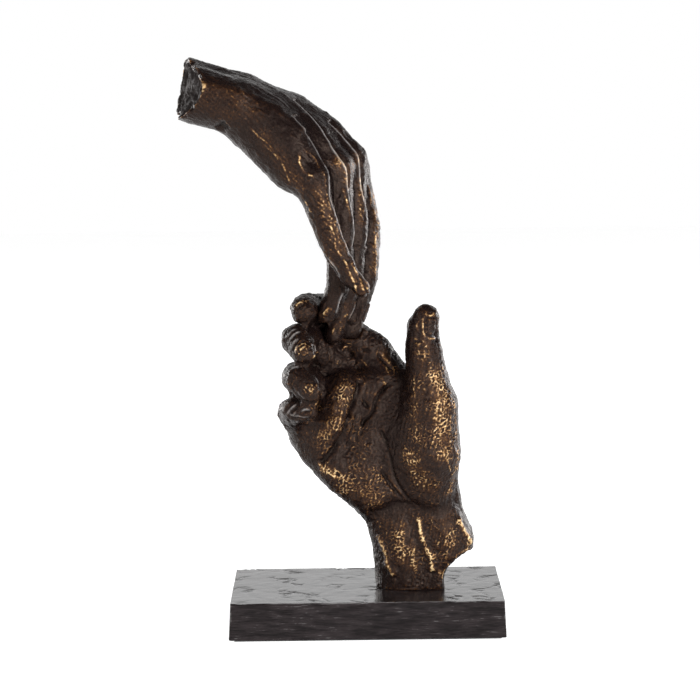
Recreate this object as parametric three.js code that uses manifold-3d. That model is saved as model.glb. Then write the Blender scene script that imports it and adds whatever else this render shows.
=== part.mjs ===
// Two hands on a plinth: the lower one stands on its wrist and holds the fingers of the upper one.
// Millimetres. X runs to the right, Y away from the front and Z up.
// The origin is the middle of the underside.

import * as THREE from "three";
import Module from "manifold-3d";
import { mergeVertices } from "three/addons/utils/BufferGeometryUtils.js";

// Plinth, and the felt sheet under it
const PLINTH_WIDTH = 170;
const PLINTH_DEPTH = 100;
const PLINTH_HEIGHT = 23;
const PLINTH_LEAN = 1; // how far each side leans in from the bottom to the top
const FELT_THICKNESS = 1;
const FELT_INSET = 3;

// Threaded stud that clamps the lower hand to the plinth, with its washer and nut in a counterbore
const STUD_DIAMETER = 8;
const STUD_IN_HAND = 45;
const STUD_TAIL = 2; // what shows below the nut
const STUD_X = 19;
const STUD_Y = 0;
const WASHER_DIAMETER = 20;
const WASHER_THICKNESS = 1.6;
const NUT_ACROSS_FLATS = 13;
const NUT_HEIGHT = 6.5;
const NUT_SIDES = 6;
const COUNTERBORE_ROOM = 1; // beside the washer, and under the stud's tail

// Pin that keeps the lower hand from turning on the stud
const PIN_DIAMETER = 5;
const PIN_IN_PLINTH = 9;
const PIN_IN_HAND = 12;
const PIN_FROM_STUD = 14;

// Dowels that carry two of the upper hand's fingers on the hand that holds them
const DOWEL_DIAMETER = 3;
const DOWEL_IN_PALM = 8;
const DOWEL_IN_FINGER = 8;

// Clearances
const BORE_CLEARANCE = 0.2; // round a stud, pin or dowel
const BORE_END_ROOM = 0.5; // past the blind end of a stud, pin or dowel
const GRIP_CLEARANCE = 0.4; // between the hands

// How softly the parts of a hand run into each other
const PALM_BLEND = 8;
const KNUCKLE_BLEND = 5;
const FINGER_BLEND = 1.5;
const BREAK_BLEND = 2;

// Fineness of the faceted skin and of round pieces
const SKIN_CELL = 4.6;
const ROUND_SIDES = 24;

// A hand is made of limbs. A limb is a list of joints [x, y, z, radius] that tapers from each joint to the
// next. Joints are counted from the middle of the plinth's top face.

const LOWER_HAND = {
  palm: {
    wristLittleSide: [[25, 0, -10, 18.5], [24, 0, 28, 20], [16, 0, 51, 18]],
    wristThumbSide: [[47, 0, -10, 17.5], [49, 0, 28, 18.5], [41, -2, 51, 18]],
    littleBone: [[8, 0, 59, 12.5], [-35, 2, 98, 11.5]],
    ringBone: [[14, 4, 60, 12.5], [-22, 8, 115, 11.5]],
    middleBone: [[21, 6, 61, 12.5], [-8, 10, 131, 11.5]],
    indexBone: [[29, 4, 63, 12.5], [5, 8, 146, 12]],
    littleFingerMound: [[-33, -5, 95, 10], [-18, -8, 78, 14], [4, -6, 61, 15.5]],
    fingerRootPad: [[-29, -7, 88, 10.5], [-20, -11, 106, 14], [-13, -8, 125, 12.5]],
    palmMiddle: [[7, -4, 128, 10], [5, -6, 106, 11], [1, -8, 84, 12.5], [5, -7, 66, 14]],
    thumbMound: [[41, -6, 61, 16], [39, -14, 88, 20], [40, -16, 116, 16.5]],
    thumbSlope: [[24, -3, 124, 11], [26, -8, 104, 14.5], [27, -9, 86, 16.5], [28, -5, 66, 16]],
    thumbWeb: [[14, 6, 134, 12], [27, 0, 119, 12]],
  },
  fingers: {
    index: [[5, 8, 146, 11.5], [-26, 4, 174, 9.6], [-36, -16, 178, 8.8], [-37, -26, 177, 8.2]],
    middle: [[-8, 10, 131, 11.5], [-36, -5, 157, 10], [-42, -28, 160, 9], [-37, -38, 153, 7.6]],
    ring: [[-22, 8, 115, 11.5], [-41, -18, 135, 10], [-41, -38, 137, 8.6], [-33, -44, 130, 7.2]],
    little: [[-35, 2, 98, 11.5], [-45, -18, 113, 9], [-43, -34, 117, 7.8], [-35, -40, 118, 6.6]],
    thumb: [[40, -16, 116, 16.5], [37.5, -17, 140, 12.2], [36, -18, 152, 11], [36, -18, 165, 9.7],
      [38, -18, 171.5, 8.2]],
  },
  breaks: {
    biteInWrist: [[66, -30, 4, 18], [66, 30, 4, 18]],
  },
};

const UPPER_HAND = {
  palm: {
    wristLittleSide: [[-132, -8, 318, 18], [-77, -12, 301, 17]],
    wristThumbSide: [[-132, 12, 320, 18.5], [-76, 12, 304, 17]],
    littleBone: [[-75, -13, 299, 12.5], [-56, -19, 292, 13.5], [-44, -24, 280, 13], [-31, -28, 257, 11.5]],
    ringBone: [[-74, -4, 304, 12.5], [-52, -6, 297, 13], [-33, -10, 282, 12.5], [-18, -13, 263, 11.5]],
    middleBone: [[-74, 8, 306, 12.5], [-44, 8, 296, 13], [-23, 6, 282, 12.5], [-9, 5, 266, 12]],
    indexBone: [[-75, 18, 304, 12], [-44, 21, 295, 12.5], [-24, 23, 279, 12], [-8, 23, 261, 11]],
    littleFingerMound: [[-68, -13, 287, 12.5], [-58, -20, 277, 12.5], [-44, -25, 262, 12]],
    thumbMound: [[-62, 28, 290, 12], [-40, 36, 261, 12]],
  },
  fingers: {
    index: [[-7, 23, 261, 11], [3, 12, 224, 8.3], [2, 4, 196, 7.6], [-8, -2, 162, 6.3]],
    middle: [[-9, 5, 266, 11.5], [-5, -3, 224, 8.4], [-8, -8, 193, 7.5], [-19, -8, 160, 6.3]],
    ring: [[-17, -13, 263, 11], [-13, -19, 227, 8.2], [-16, -21, 190, 7.2], [-23, -20, 174, 6]],
    little: [[-30, -29, 255, 10.5], [-22, -35, 227, 8.2], [-15, -37, 211, 7.4], [-8, -38, 199, 6.4],
      [-1, -37, 191, 5.4]],
    thumb: [[-40, 36, 261, 12], [-24, 36, 235, 9.5], [-15, 30, 217, 7.5]],
  },
  breaks: {
    brokenWrist: [[-92, -45, 311, 0], [-209, 45, 332, 111]],
  },
};

// Where each dowel crosses from the palm, behind, into a finger, in front
const DOWEL_CROSSINGS = {
  grip_dowel_index: [-7, 4, 165],
  grip_dowel_middle: [-17, -2, 165],
};

const BRONZE = { color: 0x2e2419, roughness: 0.45, metalness: 0.8 };
const BLACK_STONE = { color: 0x1b1b1c, roughness: 0.75, metalness: 0 };
const STEEL = { color: 0x9a9c9f, roughness: 0.35, metalness: 1 };
const FELT = { color: 0x141414, roughness: 1, metalness: 0 };

// Heights and places that follow from the sizes above
const PLINTH_BOTTOM = FELT_THICKNESS;
const PLINTH_TOP = PLINTH_BOTTOM + PLINTH_HEIGHT;
const COUNTERBORE_TOP = PLINTH_BOTTOM + WASHER_THICKNESS + NUT_HEIGHT + STUD_TAIL + COUNTERBORE_ROOM;
const WASHER_BOTTOM = COUNTERBORE_TOP - WASHER_THICKNESS;
const NUT_BOTTOM = WASHER_BOTTOM - NUT_HEIGHT;
const STUD_BOTTOM = NUT_BOTTOM - STUD_TAIL;
const STUD_TOP = PLINTH_TOP + STUD_IN_HAND;
const STUD_BORE = STUD_DIAMETER + 2 * BORE_CLEARANCE;
const STUD_AXIS = [STUD_X, STUD_Y];
const PIN_BOTTOM = PLINTH_TOP - PIN_IN_PLINTH;
const PIN_TOP = PLINTH_TOP + PIN_IN_HAND;
const PIN_BORE = PIN_DIAMETER + 2 * BORE_CLEARANCE;
const PIN_AXIS = [STUD_X + PIN_FROM_STUD, STUD_Y];

const wasm = await Module();
wasm.setup();

// Solids

function solid(geometry) {
  const bare = new THREE.BufferGeometry();
  bare.setAttribute("position", geometry.attributes.position);
  bare.setIndex(geometry.index);
  const welded = mergeVertices(bare);
  return new wasm.Manifold(new wasm.Mesh({
    numProp: 3,
    vertProperties: welded.attributes.position.array,
    triVerts: Uint32Array.from(welded.index.array),
  }));
}

function part(name, body, look) {
  const { vertProperties, triVerts } = body.getMesh();
  const geometry = new THREE.BufferGeometry();
  geometry.setAttribute("position", new THREE.BufferAttribute(vertProperties, 3));
  geometry.setIndex(new THREE.BufferAttribute(triVerts, 1));
  geometry.computeVertexNormals();
  const mesh = new THREE.Mesh(geometry, new THREE.MeshStandardMaterial(look));
  mesh.name = name;
  return mesh;
}

// A block over the origin whose sides lean in towards the top
function block(width, depth, bottom, top, lean = 0) {
  const geometry = new THREE.BoxGeometry(width, depth, top - bottom);
  const corners = geometry.attributes.position;
  for (let i = 0; i < corners.count; i++) {
    if (corners.getZ(i) > 0) {
      corners.setX(i, corners.getX(i) - Math.sign(corners.getX(i)) * lean);
      corners.setY(i, corners.getY(i) - Math.sign(corners.getY(i)) * lean);
    }
  }
  geometry.translate(0, 0, (bottom + top) / 2);
  return solid(geometry);
}

// An upright round bar or, with few sides, a prism
function upright([x, y], diameter, bottom, top, sides = ROUND_SIDES) {
  const geometry = new THREE.CylinderGeometry(diameter / 2, diameter / 2, top - bottom, sides);
  geometry.rotateX(Math.PI / 2);
  geometry.translate(x, y, (bottom + top) / 2);
  return solid(geometry);
}

// A round bar that lies from front to back
function level([x, z], diameter, front, back) {
  const geometry = new THREE.CylinderGeometry(diameter / 2, diameter / 2, back - front, ROUND_SIDES);
  geometry.translate(x, (front + back) / 2, z);
  return solid(geometry);
}

// Shape of a hand: a field that is negative in the flesh and counts millimetres near its surface

function toLimb(joints, x, y, z) {
  let nearest = Infinity;
  for (let i = 0; i + 1 < joints.length; i++) {
    const [ax, ay, az, startRadius] = joints[i];
    const [bx, by, bz, endRadius] = joints[i + 1];
    const [ux, uy, uz] = [bx - ax, by - ay, bz - az];
    const share = ((x - ax) * ux + (y - ay) * uy + (z - az) * uz) / (ux * ux + uy * uy + uz * uz);
    const along = THREE.MathUtils.clamp(share, 0, 1);
    const fromAxis = Math.hypot(x - ax - along * ux, y - ay - along * uy, z - az - along * uz);
    nearest = Math.min(nearest, fromAxis - THREE.MathUtils.lerp(startRadius, endRadius, along));
  }
  return nearest;
}

// The nearer of two distances, rounded off where they are alike
function blend(a, b, width) {
  const likeness = Math.max(width - Math.abs(a - b), 0) / width;
  return Math.min(a, b) - likeness * likeness * width / 4;
}

function handField({ palm, fingers, breaks }) {
  const [palmLimbs, fingerLimbs, breakLimbs] = [palm, fingers, breaks].map(Object.values);
  return (x, y, z) => {
    const height = z - PLINTH_TOP;
    const toLimbs = (limbs, width) => limbs
      .map((joints) => toLimb(joints, x, y, height))
      .reduce((a, b) => blend(a, b, width));
    const flesh = blend(toLimbs(palmLimbs, PALM_BLEND), toLimbs(fingerLimbs, FINGER_BLEND), KNUCKLE_BLEND);
    return -blend(-flesh, toLimbs(breakLimbs, BREAK_BLEND), BREAK_BLEND);
  };
}

// A box that holds the whole hand with two cells to spare
function handBox({ palm, fingers }) {
  const box = new THREE.Box3();
  for (const joints of [palm, fingers].flatMap(Object.values)) {
    for (const [x, y, z, radius] of joints) {
      const ball = new THREE.Sphere(new THREE.Vector3(x, y, z + PLINTH_TOP), radius);
      box.union(ball.getBoundingBox(new THREE.Box3()));
    }
  }
  return box.expandByScalar(2 * SKIN_CELL);
}

// Skin of a field: a grid of cells is laid over it. Each cell that the surface crosses has one point, and
// each cell edge that it crosses has a four-sided facet between the points round that edge.

const AXES = [0, 1, 2];
const CORNERS = [0, 1, 2, 3, 4, 5, 6, 7].map((n) => [n & 1, (n >> 1) & 1, (n >> 2) & 1]);
const OPPOSITE_CORNERS = [[0, 7], [1, 6], [2, 5], [3, 4]];
const RIM_SHARE = 1 / 12; // of a cell, kept free of its point on every side
const SLOPE_SHARE = 1 / 50; // of a cell, the step that measures the field's slope
const FILL_SHARE = 1 / 20; // of a cell, the depth given to a filled sample
const SETTLE_PASSES = 3;
const LEAST_SLOPE = 0.5; // where limbs blend, the field flattens and a settling step would overshoot

function gridOver(box) {
  const low = box.min.toArray();
  const count = box.getSize(new THREE.Vector3()).toArray().map((size) => Math.ceil(size / SKIN_CELL) + 1);
  const step = [1, count[0], count[0] * count[1]];
  const corners = CORNERS.map((corner) => AXES.reduce((sum, axis) => sum + corner[axis] * step[axis], 0));
  return { low, count, step, corners };
}

function eachPlace({ count, step }, short, visit) {
  for (let k = 0; k < count[2] - short; k++) {
    for (let j = 0; j < count[1] - short; j++) {
      for (let i = 0; i < count[0] - short; i++) {
        visit([i, j, k], i + j * step[1] + k * step[2]);
      }
    }
  }
}

function sampled(field, grid) {
  const sample = new Float64Array(grid.count[0] * grid.count[1] * grid.count[2]);
  eachPlace(grid, 0, (cell, home) => {
    const [x, y, z] = AXES.map((axis) => grid.low[axis] + cell[axis] * SKIN_CELL);
    sample[home] = field(x, y, z);
  });
  return sample;
}

// Flesh that meets only across a diagonal would pinch the skin, so the nearest empty sample there is filled
function fillPinches(sample, grid) {
  const inFlesh = (place) => sample[place] < 0;
  const fillNearest = (places) => {
    const empty = places.filter((place) => !inFlesh(place));
    const nearest = empty.reduce((a, b) => (sample[a] < sample[b] ? a : b));
    sample[nearest] = -SKIN_CELL * FILL_SHARE;
  };
  const squares = AXES.flatMap((axis) => [0, 1].map((side) => {
    const [a, b, c, d] = grid.corners.filter((_, n) => CORNERS[n][axis] === side);
    return [a, b, d, c];
  }));
  let pinched = true;
  while (pinched) {
    pinched = false;
    eachPlace(grid, 1, (_, home) => {
      const corners = grid.corners.map((offset) => home + offset);
      const fleshCount = corners.filter(inFlesh).length;
      if (fleshCount < 2 || fleshCount > 6) return;
      const odd = fleshCount === 2;
      const pointed = (odd || fleshCount === 6)
        && OPPOSITE_CORNERS.some((pair) => pair.every((n) => inFlesh(corners[n]) === odd));
      const crossed = squares.map((square) => square.map((offset) => home + offset)).find((places) => {
        const [a, b, c, d] = places.map(inFlesh);
        return a === c && b === d && a !== b;
      });
      if (!pointed && !crossed) return;
      fillNearest(crossed ?? corners);
      pinched = true;
    });
  }
}

// Mean of the places where the surface crosses a cell's edges, then settled on the surface in the cell
function cellPoint(field, sample, grid, cell, home) {
  const point = new THREE.Vector3();
  let crossings = 0;
  for (const [n, corner] of CORNERS.entries()) {
    for (const axis of AXES.filter((a) => corner[a] === 0)) {
      const near = sample[home + grid.corners[n]];
      const far = sample[home + grid.corners[n] + grid.step[axis]];
      if ((near < 0) !== (far < 0)) {
        point.add(new THREE.Vector3(...corner).setComponent(axis, near / (near - far)));
        crossings++;
      }
    }
  }
  const corner = new THREE.Vector3(...AXES.map((axis) => grid.low[axis] + cell[axis] * SKIN_CELL));
  const low = corner.clone().addScalar(SKIN_CELL * RIM_SHARE);
  const high = corner.clone().addScalar(SKIN_CELL * (1 - RIM_SHARE));
  point.multiplyScalar(SKIN_CELL / crossings).add(corner);

  const reach = SKIN_CELL * SLOPE_SHARE;
  const value = (p) => field(p.x, p.y, p.z);
  for (let pass = 0; pass < SETTLE_PASSES; pass++) {
    const here = value(point);
    const slope = new THREE.Vector3();
    for (const axis of AXES) {
      const beside = point.clone().setComponent(axis, point.getComponent(axis) + reach);
      slope.setComponent(axis, (value(beside) - here) / reach);
    }
    const steepness = Math.max(slope.length(), LEAST_SLOPE);
    point.addScaledVector(slope, -here / steepness ** 2).clamp(low, high);
  }
  return point;
}

function skin(field, box) {
  const grid = gridOver(box);
  const sample = sampled(field, grid);
  fillPinches(sample, grid);

  const points = [];
  const pointAt = new Map();
  eachPlace(grid, 1, (cell, home) => {
    const fleshCount = grid.corners.filter((offset) => sample[home + offset] < 0).length;
    if (fleshCount > 0 && fleshCount < CORNERS.length) {
      pointAt.set(home, points.length);
      points.push(cellPoint(field, sample, grid, cell, home));
    }
  });

  const triangles = [];
  eachPlace(grid, 1, (_, home) => {
    const inFlesh = sample[home] < 0;
    for (const axis of AXES) {
      if (inFlesh === sample[home + grid.step[axis]] < 0) continue;
      const across = grid.step[(axis + 1) % 3];
      const up = grid.step[(axis + 2) % 3];
      const round = [home - across - up, home - up, home, home - across].map((place) => pointAt.get(place));
      const [a, b, c, d] = inFlesh ? round : round.reverse();
      if (points[a].distanceTo(points[c]) < points[b].distanceTo(points[d])) {
        triangles.push(a, b, c, a, c, d);
      } else {
        triangles.push(a, b, d, b, c, d);
      }
    }
  });

  const geometry = new THREE.BufferGeometry().setFromPoints(points);
  geometry.setIndex(triangles);
  return geometry;
}

// The same skin with each point moved out along its normal
function swollen(geometry, by) {
  const bigger = geometry.clone();
  bigger.computeVertexNormals();
  const { position, normal } = bigger.attributes;
  for (let i = 0; i < position.count; i++) {
    const point = new THREE.Vector3().fromBufferAttribute(position, i);
    point.addScaledVector(new THREE.Vector3().fromBufferAttribute(normal, i), by);
    position.setXYZ(i, point.x, point.y, point.z);
  }
  return bigger;
}

// Sub-parts

function makePlinth() {
  return block(PLINTH_WIDTH, PLINTH_DEPTH, PLINTH_BOTTOM, PLINTH_TOP, PLINTH_LEAN)
    .subtract(upright(STUD_AXIS, STUD_BORE, 0, STUD_TOP))
    .subtract(upright(STUD_AXIS, WASHER_DIAMETER + 2 * COUNTERBORE_ROOM, 0, COUNTERBORE_TOP))
    .subtract(upright(PIN_AXIS, PIN_BORE, PIN_BOTTOM - BORE_END_ROOM, PIN_TOP));
}

function makeFelt() {
  return block(PLINTH_WIDTH - 2 * FELT_INSET, PLINTH_DEPTH - 2 * FELT_INSET, 0, PLINTH_BOTTOM);
}

function makeStud() {
  return upright(STUD_AXIS, STUD_DIAMETER, STUD_BOTTOM, STUD_TOP);
}

function makeWasher() {
  return upright(STUD_AXIS, WASHER_DIAMETER, WASHER_BOTTOM, COUNTERBORE_TOP)
    .subtract(upright(STUD_AXIS, STUD_BORE, 0, STUD_TOP));
}

function makeNut() {
  const acrossCorners = NUT_ACROSS_FLATS / Math.cos(Math.PI / NUT_SIDES);
  return upright(STUD_AXIS, acrossCorners, NUT_BOTTOM, WASHER_BOTTOM, NUT_SIDES)
    .subtract(upright(STUD_AXIS, STUD_BORE, 0, STUD_TOP));
}

function makePin() {
  return upright(PIN_AXIS, PIN_DIAMETER, PIN_BOTTOM, PIN_TOP);
}

function makeDowel([x, y, z]) {
  return level([x, z + PLINTH_TOP], DOWEL_DIAMETER, y - DOWEL_IN_FINGER, y + DOWEL_IN_PALM);
}

function dowelBore([x, y, z]) {
  const front = y - DOWEL_IN_FINGER - BORE_END_ROOM;
  const back = y + DOWEL_IN_PALM + BORE_END_ROOM;
  return level([x, z + PLINTH_TOP], DOWEL_DIAMETER + 2 * BORE_CLEARANCE, front, back);
}

function boredForDowels(hand) {
  return Object.values(DOWEL_CROSSINGS).reduce((rest, crossing) => rest.subtract(dowelBore(crossing)), hand);
}

function makeHands() {
  const upperSkin = skin(handField(UPPER_HAND), handBox(UPPER_HAND));
  const lowerSkin = skin(handField(LOWER_HAND), handBox(LOWER_HAND));
  const underPlinthTop = block(PLINTH_WIDTH, PLINTH_DEPTH, -PLINTH_TOP, PLINTH_TOP);
  const lower = solid(lowerSkin)
    .subtract(underPlinthTop)
    .subtract(solid(swollen(upperSkin, GRIP_CLEARANCE)))
    .subtract(upright(STUD_AXIS, STUD_BORE, 0, STUD_TOP + BORE_END_ROOM))
    .subtract(upright(PIN_AXIS, PIN_BORE, 0, PIN_TOP + BORE_END_ROOM));
  return { lower: boredForDowels(lower), upper: boredForDowels(solid(upperSkin)) };
}

const hands = makeHands();

const sculpture = new THREE.Group();
sculpture.add(part("base_felt", makeFelt(), FELT));
sculpture.add(part("plinth", makePlinth(), BLACK_STONE));
sculpture.add(part("lower_hand", hands.lower, BRONZE));
sculpture.add(part("upper_hand", hands.upper, BRONZE));
sculpture.add(part("fixing_stud", makeStud(), STEEL));
sculpture.add(part("stud_washer", makeWasher(), STEEL));
sculpture.add(part("stud_nut", makeNut(), STEEL));
sculpture.add(part("locating_pin", makePin(), STEEL));
for (const [name, crossing] of Object.entries(DOWEL_CROSSINGS)) {
  sculpture.add(part(name, makeDowel(crossing), STEEL));
}

export default sculpture;
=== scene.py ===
"""Looks of a hand sculpture: two antique-bronze hands on a slate-black plinth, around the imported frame.

Lengths are in millimetres where no comment says otherwise, and Blender's own units are metres.
Places in the photograph are in pixels, 700 to a side.
"""

import math

import bpy
import numpy as np
from mathutils import Matrix, Vector, noise
from mathutils.bvhtree import BVHTree


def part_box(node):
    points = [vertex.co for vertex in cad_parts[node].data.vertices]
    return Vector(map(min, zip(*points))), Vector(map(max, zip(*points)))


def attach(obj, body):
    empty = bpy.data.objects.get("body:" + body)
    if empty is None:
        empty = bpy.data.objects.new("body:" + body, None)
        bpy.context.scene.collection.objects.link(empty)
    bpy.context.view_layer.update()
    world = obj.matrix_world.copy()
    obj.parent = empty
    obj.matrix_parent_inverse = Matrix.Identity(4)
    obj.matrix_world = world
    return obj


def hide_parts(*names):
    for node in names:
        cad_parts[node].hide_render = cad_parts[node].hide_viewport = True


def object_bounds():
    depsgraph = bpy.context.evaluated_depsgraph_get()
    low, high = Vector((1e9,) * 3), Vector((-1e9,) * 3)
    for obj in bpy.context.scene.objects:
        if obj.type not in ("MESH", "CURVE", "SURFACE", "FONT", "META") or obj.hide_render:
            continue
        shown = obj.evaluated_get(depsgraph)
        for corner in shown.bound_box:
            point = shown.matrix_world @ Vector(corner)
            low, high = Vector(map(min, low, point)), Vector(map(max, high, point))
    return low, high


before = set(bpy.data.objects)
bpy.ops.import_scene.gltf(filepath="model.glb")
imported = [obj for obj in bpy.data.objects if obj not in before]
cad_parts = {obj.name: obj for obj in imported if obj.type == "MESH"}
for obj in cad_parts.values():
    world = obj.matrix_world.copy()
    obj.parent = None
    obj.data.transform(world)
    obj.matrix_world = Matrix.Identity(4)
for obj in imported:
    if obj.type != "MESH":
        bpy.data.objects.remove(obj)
cad_low, cad_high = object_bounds()

MM = 0.001  # one millimetre in Blender's metres
WHITE = (1, 1, 1, 1)

# Camera, as fitted to the plinth's corners in the photograph
PHOTO_SIDE = 700
CAMERA_PLACE = Vector((-11.2, -1528.3, 374.4))
CAMERA_YAW = 0.09  # degrees to the right
CAMERA_PITCH = 7.5  # degrees down
CAMERA_ROLL = 0.69  # degrees, the right side of the picture higher
FOCAL_LENGTH = 2477  # in pixels of the photograph
SENSOR_WIDTH = 36

# Skins
HAND_VOXEL = 0.55  # side of the small faces that the skin is remeshed into
HAND_PASSES = 30  # rounds of smoothing that take the facets of the solids away
PLINTH_VOXEL = 0.75
PLINTH_PASSES = 1
SMOOTHING_SHARES = (0.6, -0.62)  # how far a round moves a point to its neighbours' mean, and then back out
SHARP_PASSES = 3  # rounds of averaging that sharp wear is measured against
BROAD_PASSES = 40  # and broad wear

# Strokes
STROKE_STEP = 1.2  # pixels between the points of a stroke, or millimetres where its line is in space
STROKE_TAPER = 6  # in the same units, how long the fading ends of a stroke are
SHORTEST_STEP = 1e-6  # a shorter step along a stroke has no direction
LINE_REACH = 3  # how many widths to either side a line changes the skin
BROAD_REACH = 2.5  # how many radii to either side a swelling or gold does
DEPTH_SOFTENING = 12  # points to either side over which a stroke's depth is averaged
LINE_SOFTENING = 4  # points to either side over which its place on the skin is averaged
SOFTENED_PART = 6  # a short stroke is averaged over one such part of it at most
RIDGE_GOLD = 1.5  # radius of the gold on a ridge, in widths of the ridge
HIGHLIGHT_HALF_WIDTH = 0.45  # half the width of a painted highlight line
FOLD_HIGHLIGHT_HALF_WIDTH = 0.65  # half the width of a fold's painted highlight
FOLD_BEND = 0.4  # half the width of the step at a fold
FOLD_SEARCH = np.arange(0, 5, 0.7)  # pixels to the left of a fold where flesh in front is looked for
FOLD_STEP = 1.5  # how much nearer that flesh is at least
FOLD_REACH = 4  # points to either side from which a fold takes the nearest depth
NAIL_RIM = (0.3, -0.8)  # how far outside a nail's outline its rise starts, and where it is full
NAIL_GROOVE = 0.6  # half the width of the cut round a nail
BREAK_SKIN = (1.6, 0.3)  # how far from a break's bar the skin starts to be raw, and where it is all raw
BREAK_PIT = 8  # size of the pits in a break
BREAK_CRUMB = 3  # size of the crumbs in it
CRUMB_DEPTH = 0.3  # depth of the gaps between crumbs, as a share of the pits'
FOOT_BAND = 0.6  # height up to which no stroke moves the foot

# Noise
GRAIN_SHIFT = (17.3, 31.7, 7.9)  # how far one seed's noise lies from the next one's
CELL_SHIFT = (13.1, 5.7, 23.9)  # the same for cells
CELL_BEND = 0.6  # how far cells are bent, as a share of their size
CELL_BEND_SEEDS = (0.2, 0.4, 0.6)  # what the bend along each axis adds to the seed


# Looking through the camera


def camera_axes():
    """The camera's right, up and forward directions."""
    yaw, pitch, roll = (math.radians(angle) for angle in (CAMERA_YAW, CAMERA_PITCH, CAMERA_ROLL))
    ahead = math.cos(pitch)
    forward = Vector((math.sin(yaw) * ahead, math.cos(yaw) * ahead, -math.sin(pitch)))
    level_right = Vector((math.cos(yaw), -math.sin(yaw), 0))
    level_up = level_right.cross(forward)
    right = math.cos(roll) * level_right - math.sin(roll) * level_up
    up = math.sin(roll) * level_right + math.cos(roll) * level_up
    return right, up, forward


RIGHT, UP, FORWARD = camera_axes()


def make_camera():
    """A camera that sees what the photograph shows."""
    data = bpy.data.cameras.new("camera")
    data.sensor_width = SENSOR_WIDTH
    data.lens = FOCAL_LENGTH * SENSOR_WIDTH / PHOTO_SIDE
    camera = bpy.data.objects.new("camera", data)
    turn = Matrix((RIGHT, UP, -FORWARD)).transposed().to_4x4()
    camera.matrix_world = Matrix.Translation(CAMERA_PLACE * MM) @ turn
    bpy.context.scene.collection.objects.link(camera)
    bpy.context.scene.camera = camera


def photo_ray(pixel):
    """Direction from the camera through a pixel of the photograph."""
    half = PHOTO_SIDE / 2
    aside = RIGHT * (pixel[0] - half) / FOCAL_LENGTH
    above = UP * (half - pixel[1]) / FOCAL_LENGTH
    return (FORWARD + aside + above).normalized()


# Clay: a dense skin that strokes push in and out


def read(items, name, width, kind=np.float32):
    """What the items of a mesh hold under that name, as a row of that width for each item."""
    values = np.empty(len(items) * width, dtype=kind)
    items.foreach_get(name, values)
    return values.reshape(-1, width)


def dense_copy(node, name, voxel):
    """A copy of a CAD node's skin, remeshed into small even faces."""
    rough = bpy.data.objects.new(name + "_rough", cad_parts[node].data.copy())
    bpy.context.scene.collection.objects.link(rough)
    remesh = rough.modifiers.new("remesh", "REMESH")
    remesh.mode = "VOXEL"
    remesh.voxel_size = voxel * MM
    remesh.use_smooth_shade = True
    mesh = bpy.data.meshes.new_from_object(rough.evaluated_get(bpy.context.evaluated_depsgraph_get()))
    bpy.data.objects.remove(rough)
    mesh.name = name
    mesh.materials.clear()
    piece = bpy.data.objects.new(name, mesh)
    bpy.context.scene.collection.objects.link(piece)
    return piece


def curve_through(places, spacing):
    """Points at about that spacing along a smooth curve through the given places."""
    places = np.array(places, float)
    padded = np.vstack([2 * places[0] - places[1], places, 2 * places[-1] - places[-2]])
    found = []
    for a, b, c, d in zip(padded, padded[1:], padded[2:], padded[3:]):
        steps = max(1, math.ceil(np.linalg.norm(c - b) / spacing))
        for t in np.arange(steps) / steps:
            bend = (2 * a - 5 * b + 4 * c - d) * t * t + (3 * b - a - 3 * c + d) * t**3
            found.append(0.5 * (2 * b + (c - a) * t + bend))
    return np.array(found + [places[-1]])


def softened(values, reach):
    """Each value averaged with those that many places before and after it, or fewer in a short row."""
    reach = min(reach, len(values) // SOFTENED_PART)
    padded = np.concatenate([values[:1].repeat(reach, 0), values, values[-1:].repeat(reach, 0)])
    return np.array([padded[start : start + 2 * reach + 1].mean(0) for start in range(len(values))])


def smoothstep(low, high, values):
    """Takes low to 0 and high to 1, smoothly, and whatever lies past them to 0 or 1."""
    t = np.clip((values - low) / (high - low), 0, 1)
    return t * t * (3 - 2 * t)


def dots(a, b):
    """Dot products, row by row."""
    return np.einsum("ij,ij->i", a, b)


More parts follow.
